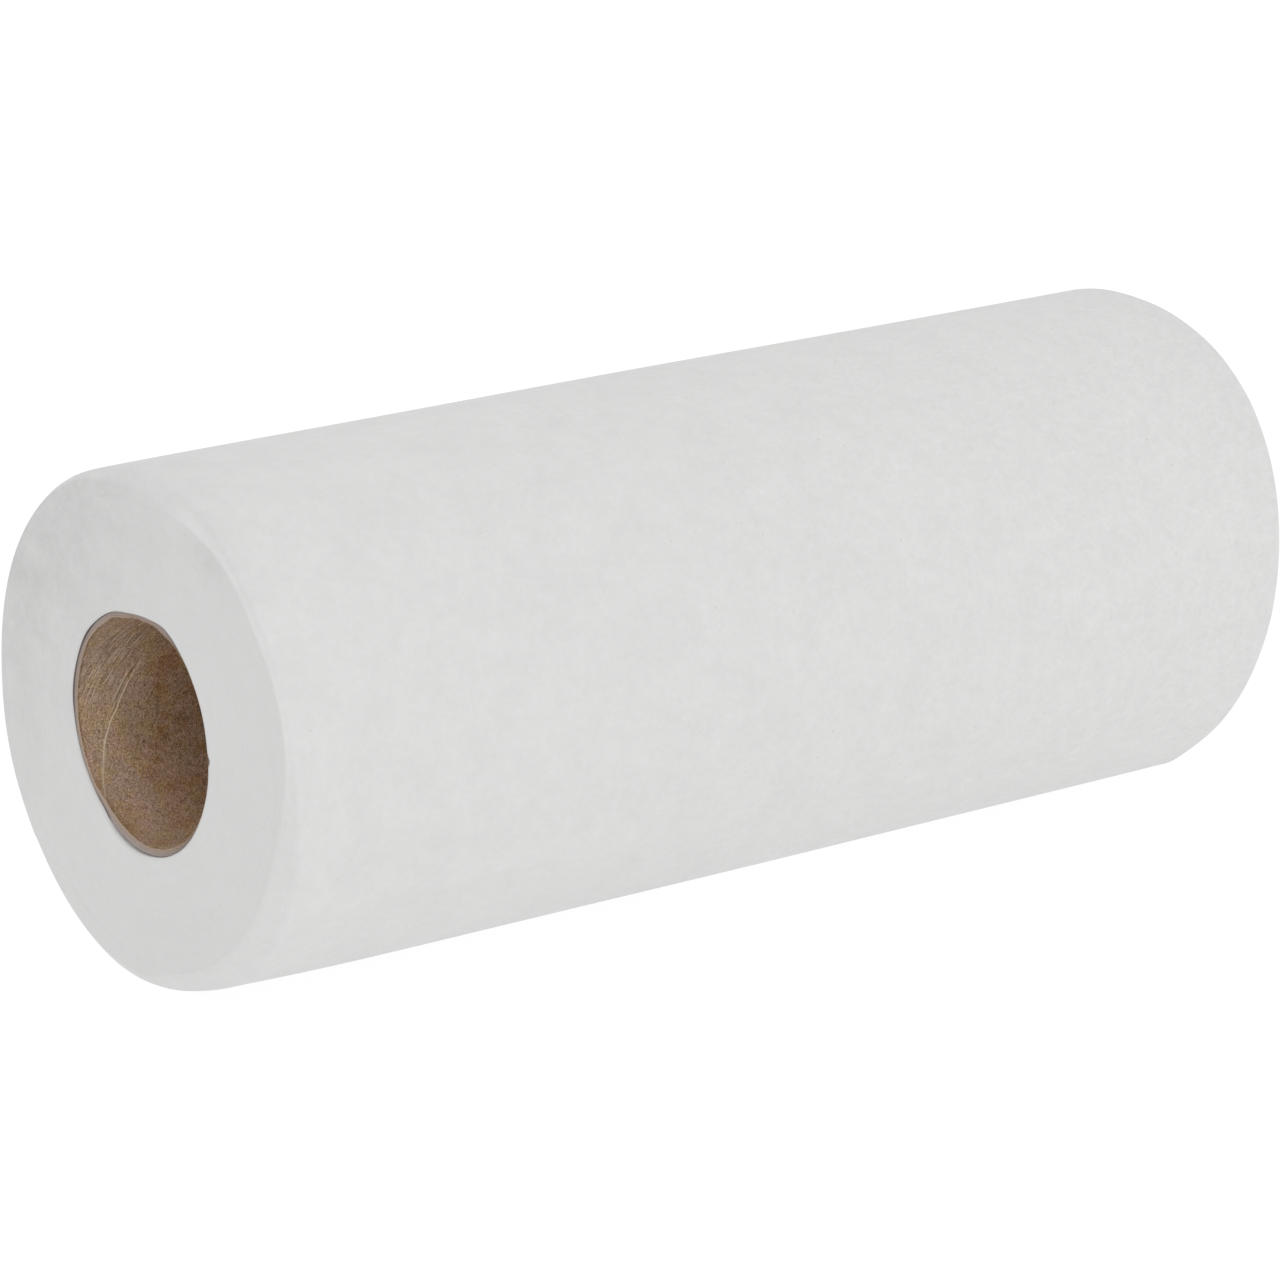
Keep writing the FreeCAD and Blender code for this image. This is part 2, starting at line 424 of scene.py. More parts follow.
def build_flap():
    """The last turn's tail: a thin cut edge lying on the back, lifted by a hair. It follows the shoulders to both ends."""
    above = np.concatenate([[0.0, 0.25], np.linspace(0.8, 25.0, 13)])
    th = np.radians(TAIL_AT + above)[:, None]
    (xs, rs, _, _, _, shoulder_shade), lines = profile(th, R + 0.0 * th)
    xs, rs, shoulder_shade = xs[:, lines], rs[:, lines], shoulder_shade[:, lines]
    na, nx = xs.shape
    g = rng(81)
    at = xs[:1] / HW
    wav = sum(g.normal() * np.cos(k * math.pi * at + g.uniform(0, TAU)) for k in (1, 2, 3, 5, 8)) / 2.2
    nick = 0.05 * sum(g.normal() * np.cos(k * math.pi * at + g.uniform(0, TAU)) for k in range(17, 29)) / 2.0
    cut = TAIL_AT + 0.12 * wav + nick
    A = above[:, None] * (1 - (cut - TAIL_AT) / 30.0) + cut
    # outward along the profile
    dx, dr = np.gradient(xs, axis=1), np.gradient(rs, axis=1)
    long = np.hypot(dx, dr)
    out_x, out_r = -dr / long, dx / long
    ends = 0.3 + 0.7 * smooth(1.0 - np.abs(at), 0.01, 0.12)        # pressed down at both ends
    lift = 0.02 + (0.16 + 0.11 * wav) * ends * np.exp(-above[:, None] / 2.8) - 0.05 * smooth(above[:, None], 18.0, 25.0)
    verts = []
    for off in (lift, lift - 0.09):
        verts.append(on_axis(np.clip(xs + off * out_x, -HW - 0.05, HW + 1.2), rs + off * out_r, np.radians(A)).reshape(-1, 3))
    verts = np.concatenate(verts)
    idx = np.arange(na * nx).reshape(na, nx)
    o = na * nx
    a, b, c, d = idx[:-1, :-1], idx[:-1, 1:], idx[1:, 1:], idx[1:, :-1]
    quads = [np.stack([a, d, c, b], -1), np.stack([o + a, o + b, o + c, o + d], -1)]
    for line, flip in ((idx[0], True), (idx[-1], False), (idx[:, 0], False), (idx[:, -1], True)):
        p, q = line[:-1], line[1:]
        side = [p, o + p, o + q, q]
        quads.append(np.stack(side[::-1] if flip else side, -1))
    quads = np.concatenate([q.reshape(-1, 4) for q in quads])
    edge = np.zeros((2, na, nx))
    # painted highlight: the tail's cut edge painted lighter
    edge[0, 0] = edge[0, 1] = 0.8
    none = np.zeros(len(verts))
    return verts, quads, [edge.reshape(-1), none, none, np.concatenate([shoulder_shade.reshape(-1)] * 2), none]


def point_attribute(ob, name, values):
    at = ob.data.attributes.new(name, "FLOAT", "POINT")
    at.data.foreach_set("value", np.asarray(values, np.float32))


wound, wound_faces, wound_values = build_paper()
flap, flap_faces, flap_values = build_flap()
paper = make_object("paper_roll_web", np.concatenate([wound, flap]), np.concatenate([wound_faces, flap_faces + len(wound)]).tolist(), sharp=50)
for name, of_wound, of_flap in zip(("crease", "end_face", "bore_shade", "shoulder_shade", "loose_turns_and_shade"), wound_values, flap_values):
    point_attribute(paper, name, np.concatenate([of_wound, of_flap]))


# ------------------------------------------------------------------ spiral-wound board tube
PITCH = 64.3          # axial advance of a ply in one turn
# The joint between the turns of the inside ply: depth from the seen end against the angle.
SEAM_DEG = np.array([-46.7, -43.5, -38.5, -33.6, -28.8, -24.1, -20.3, -17.2, -14.5, -11.8, -9.6, -7.5, -5.3, -2.4, -0.2, 3.1, 5.4, 7.3, 10.1, 12.5,
                     15.3, 17.2, 20.4, 23.1, 30.0, 40.0])
SEAM_MM = np.array([0.85, 1.33, 2.08, 2.78, 3.46, 4.06, 4.56, 5.16, 5.74, 6.22, 6.74, 7.34, 7.92, 8.38, 8.84, 9.50, 9.96, 10.35, 10.98, 11.48,
                    12.06, 12.36, 12.80, 13.25, 14.5, 16.3])
PER_DEG = PITCH / 360.0


def seam_depth(deg):
    """Depth of the joint from the seen end, for an angle that goes on past a full turn."""
    mid = np.interp(deg, SEAM_DEG, SEAM_MM)
    before = SEAM_MM[0] + (deg - SEAM_DEG[0]) * PER_DEG
    after = SEAM_MM[-1] + (deg - SEAM_DEG[-1]) * PER_DEG
    return np.where(deg < SEAM_DEG[0], before, np.where(deg > SEAM_DEG[-1], after, mid))


def seam_opening(deg):
    """How far the two ply edges stand apart, in mm."""
    first = np.interp(deg, [-60, -11, -8.5, -6.5, -4.4, -2.4, -1.6, 1.3, 5, 9.9, 12.3, 14.4, 16.0, 17.0, 20, 60],
                      [0.0, 0.0, 0.5, 0.82, 0.80, 0.66, 1.30, 1.26, 1.24, 1.30, 1.22, 1.05, 0.62, 0.30, 0.1, 0.1])
    later = 0.08 + 0.34 * np.clip(np.sin(np.radians(deg) * 0.83 + 0.6) + 0.3 * np.sin(np.radians(deg) * 2.9), 0, 1)
    return np.where(deg < 60, first, later)


def lip_near(deg):
    first = np.interp(deg, [-60, -9, -7, -5.5, -3, -1.9, -1.3, 1, 6, 14, 16.5, 19, 24, 40],
                      [0, 0, 0.9, 1.0, 0.9, 0.25, 0.8, 1.0, 1.15, 1.05, 0.5, 0.12, 0.04, 0.1])
    return np.where(deg < 40, first, 0.35 + 0.25 * np.sin(np.radians(deg) * 1.7))


def lip_far(deg):
    first = np.interp(deg, [-50, -44, -36, -25, -15, -9, -6, -4.6, -2, 2, 6.5, 8, 15.5, 17.5, 24, 40],
                      [0.25, 0.42, 0.50, 0.70, 0.85, 1.0, 0.9, 0.75, 0.95, 0.7, 0.62, 0.34, 0.30, 0.06, 0.04, 0.1])
    return np.where(deg < 40, first, 0.40 + 0.25 * np.sin(np.radians(deg) * 1.3 + 2.0))


# Fine creases of the inside ply: the angles between which they run, their offsets from the joint there, height and width.
CREASES = [(15, 29, -10.4, -9.2, 0.050, 0.30), (10, 18, -9.9, -9.3, 0.036, 0.28), (17, 31, -8.2, -8.3, 0.048, 0.30),
           (5, 19, -6.8, -6.3, 0.042, 0.30), (20, 33, -6.2, -6.7, 0.048, 0.30), (3, 14, -4.7, -4.8, 0.040, 0.28),
           (12, 30, -5.5, -5.2, 0.026, 0.26), (8, 24, -7.6, -7.4, -0.030, 0.30), (20, 42, -3.6, -3.9, 0.026, 0.26),
           (24, 46, -2.4, -2.6, 0.022, 0.26), (6, 18, 3.6, 1.3, 0.024, 0.26), (-4, 7, 5.7, 4.6, 0.024, 0.26),
           (12, 40, 2.4, 2.0, 0.016, 0.26), (24, 60, -12.2, -12.6, 0.026, 0.32), (30, 80, -14.0, -14.5, 0.024, 0.35)]
# Dark bits in the board: depth from the end, angle and half-width.
SPOTS = [(12.0, -24.0, 0.25), (11.55, -24.2, 0.10), (15.0, -1.5, 0.17), (5.7, -2.1, 0.17), (9.5, -31.2, 0.15), (17.2, 9.0, 0.14), (3.1, 38.0, 0.15)]


def tube_grid():
    """A grid that runs along the plies, so that its lines follow the joint."""
    step = 2.5
    per = int(round(360 / step))
    fine = [-2.9, -2.35, -1.95, -1.68, -1.5, -1.38, -1.27, -1.16, -1.04, -0.9, -0.75, -0.6, -0.46, -0.34, -0.24, -0.15, -0.07,
            0.0, 0.07, 0.15, 0.24, 0.35, 0.5, 0.72, 1.05]
    left = list(np.arange(-11.2, -3.0, 0.36))
    right = list(np.arange(1.4, 6.6, 0.42))
    rest = list(np.linspace(7.6, PITCH - 12.4, 34))
    rows = sorted([0.0, PITCH] + [v for v in fine if v > 0] + right + rest + [PITCH + v for v in left] + [PITCH + v for v in fine if v < 0])
    w = np.array(rows)[None, :] / PITCH
    t0, t1 = SEAM_DEG[0] - 400.0, 2 * HW / PER_DEG + 60.0
    t = np.arange(math.floor(t0 / step), math.ceil(t1 / step) + 1) * step
    s0, s1 = seam_depth(t)[:, None], seam_depth(t + 360.0)[:, None]
    depth = np.clip(s0 * (1 - w) + s1 * w, 0.0, 2 * HW)
    e0, e1 = depth - s0, depth - s1
    before = e0 > PITCH / 2                      # nearer to the joint one turn on
    e = np.where(before, e1, e0)
    turn = t[:, None] + np.where(before, 360.0, 0.0)
    return t, depth, e, turn


def seam_relief(e, turn):
    """Height of the inside ply across its joint, in mm: lifted edges, and a shallow gap between them."""
    g = seam_opening(turn)
    lift = 0.075 * lip_near(turn) * bump(e + g + 0.02, 0.32) + 0.075 * lip_far(turn) * bump(e - 0.02, 0.28)
    deep = 0.05 + 0.18 * bump(turn - 13.6, 5.0)
    gap = -deep * smooth(g, 0.1, 0.5) * smooth(e + g, -0.02, 0.14) * (1 - smooth(e, -0.14, 0.0))
    step = 0.02 * smooth(e, -0.05, 0.1) * (1 - smooth(e, 2.0, 9.0)) * (1 - 0.7 * bump(turn - 26.0, 12.0))
    return lift + gap + step


def seam_tint(e, turn):
    g = seam_opening(turn)
    wide = 0.22 + 0.10 * smooth(-turn, 4.0, 10.0) + 0.16 * smooth(-turn, 12.0, 22.0)
    pale = np.maximum(lip_near(turn) * bump(e + g, 0.31), lip_far(turn) * bump(e - 0.02, wide))
    # painted shade: dark in the open joint over a short stretch, else only a thin painted shadow beside the lifted edge
    dark = 1.15 * bump(turn - 13.9, 4.2) * smooth(g, 0.1, 0.5) * smooth(e + g, 0.20, 0.42) * (1 - smooth(e, -0.62, -0.24))
    dark = np.maximum(dark, 0.55 * smooth(g, 0.3, 0.7) * bump(e + g - 0.34, 0.24) * smooth(turn, -8.0, 0.0))
    return np.clip(pale, 0, 1), dark


def creases(e, turn):
    out = 0.0 * e
    for a, b, at_a, at_b, height, w in CREASES:
        run = smooth(turn, a - 3, a + 3) * (1 - smooth(turn, b - 3, b + 3))
        at = at_a + (at_b - at_a) * np.clip((turn - a) / (b - a), 0, 1) + 0.08 * np.sin(np.radians(turn) * 9.0 + at_a)
        out = out + height * run * bump(e - at, w)
    g = rng(92)
    for _ in range(30):
        at, n = g.uniform(-PITCH / 2, PITCH / 2), g.uniform(0.4, 1.6)
        out = out + g.uniform(0.003, 0.012) * bump(e - at, g.uniform(0.8, 1.8)) * (0.5 + 0.5 * np.cos(n * np.radians(turn) + g.uniform(0, TAU)))
    return out


def board_tone(theta, depth, e, turn):
    """Uneven tone of the inside ply: how much darker as painted shade, how much more rust-coloured, and where it is
    wrinkled along the ply.
    """
    deg = (np.degrees(theta) + 180.0) % 360.0 - 180.0
    # painted shade: darker near the mouth at the top, low down and just inside the end, and in a band further in;
    # lighter in one patch a few mm in
    dark = 0.95 * smooth(deg, 14.0, 32.0) * (1 - smooth(deg, 110.0, 150.0)) * (1 - smooth(depth, 24.0, 45.0)) + 0.40 * bump(deg + 90.0, 34.0) * (1 - smooth(depth, 10, 30))
    dark = dark - 0.28 * bump(deg + 16.0, 34.0) * bump(depth - 5.5, 4.5)
    dark = dark + 0.75 * smooth(deg, 48.0, 72.0) * (1 - smooth(deg, 105.0, 135.0)) * (1 - smooth(depth, 8.0, 16.0))
    dark = dark + 0.55 * smooth(deg, -12.0, 10.0) * (1 - smooth(deg, 60.0, 90.0)) * (1 - smooth(depth, 1.0, 4.0))
    dark = dark + 0.33 * smooth(depth, 12.0, 17.0) * (1 - smooth(depth, 30.0, 50.0)) * (1 - smooth(np.abs(deg + 10.0), 70.0, 110.0))
    middle = 17.6 + 0.1 * np.minimum(deg + 10.0, 0.0)
    rust = bump(depth - middle, 5.0) * smooth(deg, -82.0, -55.0) * (1 - smooth(deg, 22.0, 50.0))
    g = rng(94)
    for _ in range(14):
        at, rate = g.uniform(0, 2 * HW), g.uniform(0.03, 0.14) * (1 if g.random() < 0.7 else -1)
        on = smooth(depth, 26.0, 36.0)
        rust = rust + on * 0.55 * bump(depth - (at + rate * deg), g.uniform(4.0, 9.0)) * (0.5 + 0.5 * np.cos(theta * g.integers(1, 3) + g.uniform(0, TAU)))
    rust = np.clip(rust, 0, 1) - 0.85 * bump(depth - 6.0, 7.5) * smooth(deg, -75.0, -50.0) * (1 - smooth(deg, 22.0, 48.0))
    rust = rust + 0.35 * smooth(depth, 15.0, 19.0) * (1 - smooth(depth, 26.0, 34.0))
    wrinkle = smooth(turn, -6.0, 12.0) * (1 - smooth(turn, 60.0, 110.0)) * bump(e + 7.5, 8.5) * 1.5
    wrinkle = np.maximum(wrinkle, 0.35 * bump(e - 3.0, 3.5) * bump(turn - 12.0, 26.0))
    wrinkle = np.maximum(wrinkle, 0.5 * bump(e + 9.0, 7.0) * (0.5 + 0.5 * np.sin(np.radians(turn) * 0.7 + 1.0)))
    return dark, np.clip(rust, -1, 1.2), np.clip(wrinkle, 0, 1)


def board_thickness(theta, near):
    """Thickness of the board seen at the end, in mm."""
    if near:
        ragged = wave(theta, 101, 9, 44, 0.16) * smooth(np.cos(theta), -0.1, 0.5)
        return ragged + ring_table(theta, [180, -165, -140, -115, -97, -82, -67, -52, -37, -15, 0, 35, 50, 58, 66, 75, 84, 92, 101, 110, 120, 130, 145, 160],
                          [0.98, 0.98, 1.02, 1.20, 1.38, 1.58, 1.75, 1.62, 1.24, 1.02, 1.06, 1.00, 1.10, 1.28, 1.07, 1.32, 1.04, 1.26, 1.12, 1.28,
                           1.00, 0.95, 0.98, 0.98])
    return WALL + wave(theta, 96, 2, 9, 0.05)


def build_inside():
    t, depth, e, turn = tube_grid()
    th = np.radians(t)[:, None] + 0.0 * depth
    far = 2 * HW - depth
    shape = mouth(th, True) * mouth_fade(depth) + mouth(th, False) * mouth_fade(far)
    x = -HW + depth + recess(th, True) * np.exp(-depth / 1.8) - recess(th, False) * np.exp(-far / 1.8)
    thick = WALL + (board_thickness(th, True) - WALL) * np.exp(-depth / 1.3) + (board_thickness(th, False) - WALL) * np.exp(-far / 1.3)
    r = RC + shape - thick - seam_relief(e, turn) - creases(e, turn) + wave(th, 93, 2, 7, 0.05)
    pale, dark = seam_tint(e, turn)
    lay = math.hypot(TAU * (RC - WALL), PITCH) / 360.0          # length along the ply in one degree
    along = turn * lay + e * math.sin(math.atan2(PITCH, TAU * (RC - WALL)))
    across = e * math.cos(math.atan2(PITCH, TAU * (RC - WALL)))
    nt, nw = depth.shape
    idx = np.arange(nt * nw).reshape(nt, nw)
    quads = np.stack([idx[:-1, :-1], idx[:-1, 1:], idx[1:, 1:], idx[1:, :-1]], -1).reshape(-1, 4)
    d = depth.reshape(-1)[quads]
    quads = quads[d.max(1) - d.min(1) > 1e-6]
    verts = on_axis(x, r, th).reshape(-1, 3)
    tone = np.stack([v.reshape(-1) for v in board_tone(th, depth, e, turn)], -1)
    return verts, quads, pale.reshape(-1), dark.reshape(-1), along.reshape(-1), across.reshape(-1), tone, depth.reshape(-1)


def build_core():
    verts, quads, pale, dark, along, across, tone, depths = build_inside()
    bm = bmesh.new()
    seam = bm.verts.layers.float.new("seam")
    shade = bm.verts.layers.float.new("seam_gap_shade")
    ply = bm.verts.layers.float_vector.new("ply")
    rim = bm.verts.layers.float.new("rim")
    cast = bm.verts.layers.float_vector.new("board_tone")
    deep = bm.verts.layers.float.new("depth")
    bv = []
    for p, s, k, al, ac, c, d in zip(verts, pale, dark, along, across, tone, depths):
        v = bm.verts.new(p * MM)
        v[seam], v[shade], v[ply], v[cast], v[deep] = s, k, (al * MM, ac * MM, 0.0), c, d * MM
        bv.append(v)
    for q in quads:
        try:
            bm.faces.new([bv[i] for i in q])
        except ValueError:
            pass
    bmesh.ops.remove_doubles(bm, verts=bm.verts, dist=1e-6)
    bmesh.ops.delete(bm, geom=[v for v in bm.verts if not v.link_faces], context="VERTS")
    bmesh.ops.dissolve_degenerate(bm, edges=bm.edges, dist=1e-7)
    # the two open edges of the inside wall; from each the cut end of the board runs outward
    rings = {True: [], False: []}
    for v in bm.verts:
        if any(ed.is_boundary for ed in v.link_edges):
            rings[v.co.x < 0].append(v)
    g = rng(97)
    outer = {}
    for near, ring in rings.items():
        angle = [math.atan2(v.co.z - AXIS_Z * MM, v.co.y) for v in ring]
        order = sorted(range(len(ring)), key=angle.__getitem__)
        ring, th = [ring[i] for i in order], np.array([angle[i] for i in order])
        n = len(ring)
        r_in = np.array([math.hypot(v.co.z - AXIS_Z * MM, v.co.y) for v in ring]) / MM
        r_out = RC + mouth(th, near) - 0.01
        sgn = -1.0 if near else 1.0
        rag = np.abs(wave(th, 98 + near, 5, 40, 0.07) + g.normal(0, 0.02, n))
        back = recess(th, near) + np.clip(wave(th, 108 + near, 3, 16, 0.05), -0.06, 0.15)
        # painted shade where the paper's edge hangs over it
        rim_shade = ring_table(th, [180, 150, 126, 112, 80, 20, -30, -60, -100, -125, -145], [1.0, 1.0, 0.85, 0.2, 0.1, 0.25, 0.15, 0.1, 0.1, 0.4, 0.9]) \
            if near else 0.2 + wave(th, 99, 1, 3, 0.15)
        # paler at its inner corner over part of the way round, and in shade at its outer one
        burr = ring_table(th, [-80, -60, -45, -20, 0, 35, 55, 75, 110, 180, -120], [0.3, 0.6, 1.0, 1.0, 1.0, 1.0, 0.7, 0.2, 0.0, 0.0, 0.0]) \
            if near else 0.3 + wave(th, 100, 1, 3, 0.2)
        shaded = ring_table(th, [-75, -45, -20, 0, 20, 45, 70, 100, 180, -120], [0.0, 0.12, 0.35, 0.5, 0.5, 0.4, 0.2, 0.0, 0.0, 0.0]) if near else 0.2 + 0.0 * th
        prev = ring
        # the plies stand a little in and out across the cut
        for share, inset in ((0.10, 0.02), (0.28, 0.0), (0.34, 0.055), (0.60, 0.0), (0.66, 0.07), (0.88, 0.015), (1.0, 0.13)):
            row = []
            for i in range(n):
                r = r_in[i] + (r_out[i] - r_in[i]) * share
                x = sgn * (HW - inset - back[i] + 0.06 - 0.45 * rag[i] * (1 - share) - 0.02 * abs(g.normal()))
                v = bm.verts.new(Vector(on_axis(x, r, th[i])) * MM)
                v[rim], v[ply], v[deep] = 1.0, (r_in[i] * th[i] * MM, (r - RC) * MM, share), -MM
                v[cast] = (max(rim_shade[i], shaded[i] * float(smooth(share, 0.45, 1.0))), burr[i], 0.0)
                row.append(v)
            for i in range(n):
                j = (i + 1) % n
                bm.faces.new([prev[i], prev[j], row[j], row[i]] if near else [prev[j], prev[i], row[i], row[j]])
            prev = row
        outer[near] = (prev, th)
    # the outside of the tube, inside the paper: coarse rows that end on the two cut ends
    (ra, ta), (rb, tb) = outer[True], outer[False]
    pick = np.linspace(-math.pi, math.pi, 72, endpoint=False)
    rows = []
    for d in (1.5, 4.0, 9.0, 20.0, 50.0, HW, 2 * HW - 50.0, 2 * HW - 20.0, 2 * HW - 9.0, 2 * HW - 4.0, 2 * HW - 1.5):
        r = RC + mouth(pick, True) * mouth_fade(d) + mouth(pick, False) * mouth_fade(2 * HW - d) - 0.01
        rows.append([bm.verts.new(Vector(on_axis(-HW + d, r[i], pick[i])) * MM) for i in range(72)])
    for a, b in zip(rows[:-1], rows[1:]):
        for i in range(72):
            j = (i + 1) % 72
            bm.faces.new([a[i], a[j], b[j], b[i]])
    for ring, row in ((ra, rows[0]), (rb, rows[-1])):
        edges = [bm.edges.get((p[i], p[(i + 1) % len(p)])) for p in (ring, row) for i in range(len(p))]
        bmesh.ops.bridge_loops(bm, edges=edges)
    bmesh.ops.recalc_face_normals(bm, faces=bm.faces)
    me = bpy.data.meshes.new("core_tube_board")
    bm.to_mesh(me)
    bm.free()
    me.shade_smooth()
    me.set_sharp_from_angle(angle=math.radians(40))
    ob = bpy.data.objects.new("core_tube_board", me)
    bpy.context.scene.collection.objects.link(ob)
    return ob


core = build_core()


# ------------------------------------------------------------------ materials
def new_material(name):
    mat = bpy.data.materials.new(name)
    mat.use_nodes = True
    nt = mat.node_tree
    nt.nodes.clear()
    out = nt.nodes.new("ShaderNodeOutputMaterial")
    bsdf = nt.nodes.new("ShaderNodeBsdfPrincipled")
    nt.links.new(bsdf.outputs[0], out.inputs[0])
    return mat, nt, bsdf


class Nodes:
    """A few shorthands for building node trees."""

    def __init__(self, nt):
        self.nt = nt

    def put(self, socket, value):
        if isinstance(value, bpy.types.NodeSocket):
            self.nt.links.new(value, socket)
        else:
            socket.default_value = value

    def node(self, kind, inputs=(), **props):
        n = self.nt.nodes.new(kind)
        for k, v in props.items():
            setattr(n, k, v)
        for k, v in dict(inputs).items():
            self.put(n.inputs[k], v)
        return n

    def attr(self, name, out="Fac"):
        return self.node("ShaderNodeAttribute", attribute_name=name).outputs[out]

    def coords(self):
        return self.node("ShaderNodeTexCoord").outputs["Object"]

    def scale(self, vec, s):
        return self.node("ShaderNodeMapping", {"Vector": vec, "Scale": s}).outputs[0]

    def noise(self, vec, scale, detail=4.0, rough=0.55, distortion=0.0):
        return self.node("ShaderNodeTexNoise", {"Vector": vec, "Scale": scale, "Detail": detail, "Roughness": rough, "Distortion": distortion}).outputs["Fac"]

    def voronoi(self, vec, scale, feature="F1", rand=1.0, out="Distance"):
        return self.node("ShaderNodeTexVoronoi", {"Vector": vec, "Scale": scale, "Randomness": rand}, feature=feature).outputs[out]

    def math(self, op, a, b=None, c=None, clamp=False):
        n = self.node("ShaderNodeMath", operation=op, use_clamp=clamp)
        self.put(n.inputs[0], a)
        if b is not None:
            self.put(n.inputs[1], b)
        if c is not None:
            self.put(n.inputs[2], c)
        return n.outputs[0]

    def span(self, x, a, b, lo=0.0, hi=1.0):
        return self.node("ShaderNodeMapRange", {"Value": x, "From Min": a, "From Max": b, "To Min": lo, "To Max": hi}).outputs[0]

    def mix(self, f, a, b, blend="MIX"):
        n = self.node("ShaderNodeMix", data_type="RGBA", blend_type=blend)
        self.put(n.inputs["Factor"], f)
        for i, v in ((6, a), (7, b)):
            self.put(n.inputs[i], v)
        return n.outputs[2]

    def sep(self, v):
        return self.node("ShaderNodeSeparateXYZ", {0: v}).outputs

    def comb(self, x, y, z):
        return self.node("ShaderNodeCombineXYZ", {0: x, 1: y, 2: z}).outputs[0]

    def bump(self, height, distance, strength=1.0, normal=None):
        n = self.node("ShaderNodeBump", {"Height": height, "Distance": distance, "Strength": strength})
        if normal is not None:
            self.put(n.inputs["Normal"], normal)
        return n.outputs[0]


def paper_material():
    mat, nt, bsdf = new_material("exam_paper")
    N = Nodes(nt)
    co = N.coords()
    x, y, z = N.sep(co)[:3]
    zz = N.math("SUBTRACT", z, AXIS_Z * MM)
    radius = N.math("SQRT", N.math("ADD", N.math("MULTIPLY", y, y), N.math("MULTIPLY", zz, zz)))
    face = N.attr("end_face")
    crease = N.attr("crease")
    # fibre formation: cloudy at a few millimetres, finer flecks within it
    cloud = N.noise(co, 115.0, 3.0, 0.62)
    clot = N.noise(co, 420.0, 2.0, 0.60)
    fleck = N.noise(co, 1100.0, 2.0, 0.60)
    broad = N.noise(co, 16.0, 2.0, 0.5)
    # the sheet grows a little more flecked and less cloudy along the roll
    on = N.span(x, -0.06, 0.10)
    tone = N.math("ADD", N.math("MULTIPLY", N.math("SUBTRACT", cloud, 0.5), N.math("MULTIPLY_ADD", on, -0.022, 0.092)),
                  N.math("MULTIPLY", N.math("SUBTRACT", clot, 0.5), N.math("MULTIPLY_ADD", on, 0.030, 0.075)))
    tone = N.math("ADD", tone, N.math("MULTIPLY", N.math("SUBTRACT", fleck, 0.5), N.math("MULTIPLY_ADD", on, 0.075, 0.080)))
    # little nubs of fibre
    moved = N.node("ShaderNodeVectorMath", {0: co, 1: (0.13, 0.29, 0.41)}, operation="ADD").outputs[0]
    nub = N.math("MULTIPLY", N.span(N.voronoi(moved, 560.0), 0.26, 0.06), N.span(N.noise(moved, 170.0, 1.0), 0.52, 0.60))
    nub = N.math("MULTIPLY", nub, N.math("MULTIPLY", N.math("MULTIPLY_ADD", on, 0.65, 0.35), N.math("SUBTRACT", 1.0, face)))
    tone = N.math("SUBTRACT", tone, N.math("MULTIPLY", nub, 0.020))
    # the ends are cut, and look smoother than the sheet except where the turns lie open, where the stronger mottle is
    # painted shade of the open turns
    loose_turns_and_shade = N.attr("loose_turns_and_shade")
    tone = N.math("MULTIPLY", tone, N.math("ADD", N.math("MULTIPLY_ADD", face, -0.55, 1.0), N.math("MULTIPLY", loose_turns_and_shade, 1.3)))
    tone = N.math("ADD", tone, N.math("MULTIPLY", N.math("SUBTRACT", broad, 0.5), 0.020))
    # turn edges on the cut ends: fine rings, unevenly dark
    rings = N.noise(N.comb(N.math("MULTIPLY", radius, 1.0), 0.0, 0.0), 5200.0, 2.0, 0.7)
    rings_soft = N.noise(N.comb(radius, 0.0, 0.0), 900.0, 2.0, 0.5)
    patch = N.span(N.noise(co, 40.0, 2.0, 0.5), 0.42, 0.62)
    ring_tone = N.math("ADD", N.math("MULTIPLY", N.math("SUBTRACT", rings, 0.5), N.math("MULTIPLY_ADD", patch, 0.07, 0.02)),
                       N.math("MULTIPLY", N.math("SUBTRACT", rings_soft, 0.5), 0.035))
    tone = N.math("ADD", tone, N.math("MULTIPLY", ring_tone, face))
    # painted highlight along the crease lines and the tail's cut edge
    tone = N.math("ADD", tone, N.math("MULTIPLY", crease, 0.036))
    # painted shade beside the shoulder
    tone = N.math("SUBTRACT", tone, N.math("MULTIPLY", N.attr("shoulder_shade"), 0.034))
    value = N.math("ADD", tone, 1.0)
    # painted shade: the cut end a little darker all over, and darker still where the turns lie open on one side
    value = N.math("MULTIPLY", value, N.math("SUBTRACT", N.math("MULTIPLY_ADD", face, -0.030, 1.0), N.math("MULTIPLY", loose_turns_and_shade, 0.088)))
    base = N.mix(1.0, (0.655, 0.655, 0.651, 1.0), N.comb(value, value, value), "MULTIPLY")
    # sparse recycled-fibre specks
    speck_cell = N.voronoi(co, 330.0)
    pick = N.noise(co, 120.0, 0.0)
    speck = N.math("MULTIPLY", N.span(speck_cell, 0.10, 0.05), N.span(pick, 0.60, 0.66))
    base = N.mix(N.math("MULTIPLY", speck, 0.20), base, (0.30, 0.27, 0.23, 1.0))
    # painted shade: the paper round the bore darkened to a brown-grey where the gap by the tube and the lip over it lie
    # in shade
    base = N.mix(N.attr("bore_shade"), base, (0.265, 0.222, 0.202, 1.0))
    N.put(bsdf.inputs["Base Color"], base)
    N.put(bsdf.inputs["Roughness"], N.span(fleck, 0.3, 0.7, 0.82, 0.94))
    bsdf.inputs["Specular IOR Level"].default_value = 0.30
    h = N.math("ADD", N.math("MULTIPLY", fleck, 0.6), N.math("MULTIPLY", clot, 0.9))
    h = N.math("ADD", h, N.math("MULTIPLY", N.math("MULTIPLY", rings, 1.2), face))
    h = N.math("ADD", h, N.math("MULTIPLY", nub, 1.3))
    N.put(bsdf.inputs["Normal"], N.bump(h, 0.00010, 0.55))
    return mat


